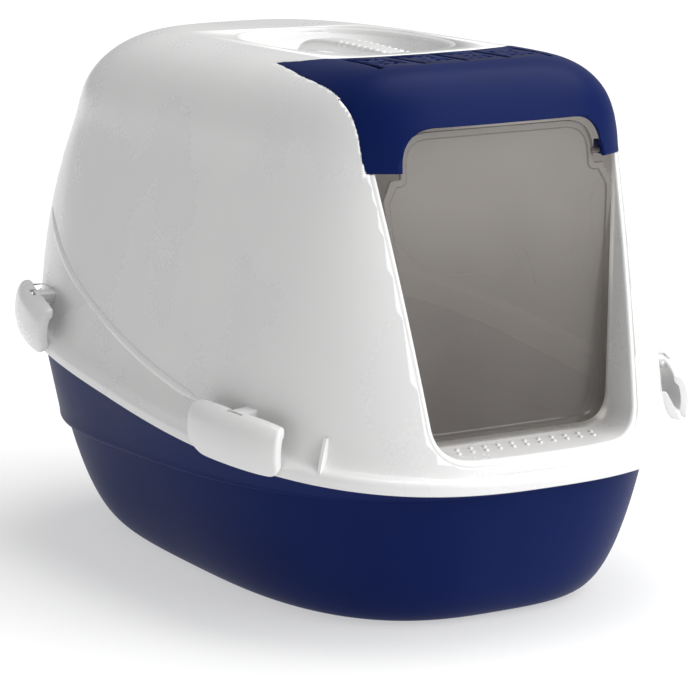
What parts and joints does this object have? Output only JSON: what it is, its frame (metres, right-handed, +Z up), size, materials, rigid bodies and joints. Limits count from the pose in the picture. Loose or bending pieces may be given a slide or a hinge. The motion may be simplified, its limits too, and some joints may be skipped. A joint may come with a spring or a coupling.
{
  "type": "hooded cat litter box",
  "caption": "Hooded cat litter box: open tray, clip-on domed hood with a swinging door flap, vented front cover and sunk carry handle.",
  "frame": {"origin": "on the ground, under the middle of the rim outline", "axes": "+Z up, the doorway faces -Y, and -X is on the left of someone facing the doorway"},
  "size_m": [0.4168, 0.56, 0.3969],
  "materials": {
    "navy_plastic": "satin navy polypropylene",
    "white_plastic": "white polypropylene, half gloss",
    "smoked_flap": "smoked see-through plastic",
    "filter_felt": "black activated-carbon felt"
  },
  "bodies": {
    "tray": {"base_tray": "navy_plastic"},
    "hood": {"hood_shell": "white_plastic", "front_cover": "navy_plastic", "carry_handle": "white_plastic", "filter_holder": "white_plastic", "carbon_filter": "filter_felt"},
    "flap": {"flap_door": "smoked_flap"},
    "clip_a": {"clip_front_right": "white_plastic"},
    "clip_b": {"clip_front_left": "white_plastic"},
    "clip_c": {"clip_rear_right": "white_plastic"},
    "clip_d": {"clip_rear_left": "white_plastic"}
  },
  "joints": [
    {"name": "hood_lift", "type": "slide", "parent": "tray", "child": "hood", "axis": [0, 0, 1], "range_m": [0, 0.15]},
    {"name": "flap_swing", "type": "hinge", "parent": "hood", "child": "flap", "pos_m": [0, -0.199, 0.332], "axis": [1, 0, 0], "range_deg": [-50, 75]},
    {"name": "clip_front_right_turn", "type": "hinge", "parent": "hood", "child": "clip_a", "pos_m": [0.18262, -0.15322, 0.1565], "axis": [-0.2956, -0.9506, -0.0951], "range_deg": [0, 100]},
    {"name": "clip_front_left_turn", "type": "hinge", "parent": "hood", "child": "clip_b", "pos_m": [-0.18262, -0.15322, 0.1565], "axis": [-0.2956, 0.9506, 0.0951], "range_deg": [0, 100]},
    {"name": "clip_rear_right_turn", "type": "hinge", "parent": "hood", "child": "clip_c", "pos_m": [0.18749, 0.15058, 0.1872], "axis": [0.2359, -0.967, -0.0967], "range_deg": [0, 100]},
    {"name": "clip_rear_left_turn", "type": "hinge", "parent": "hood", "child": "clip_d", "pos_m": [-0.18749, 0.15058, 0.1872], "axis": [0.2359, 0.967, 0.0967], "range_deg": [0, 100]}
  ]
}
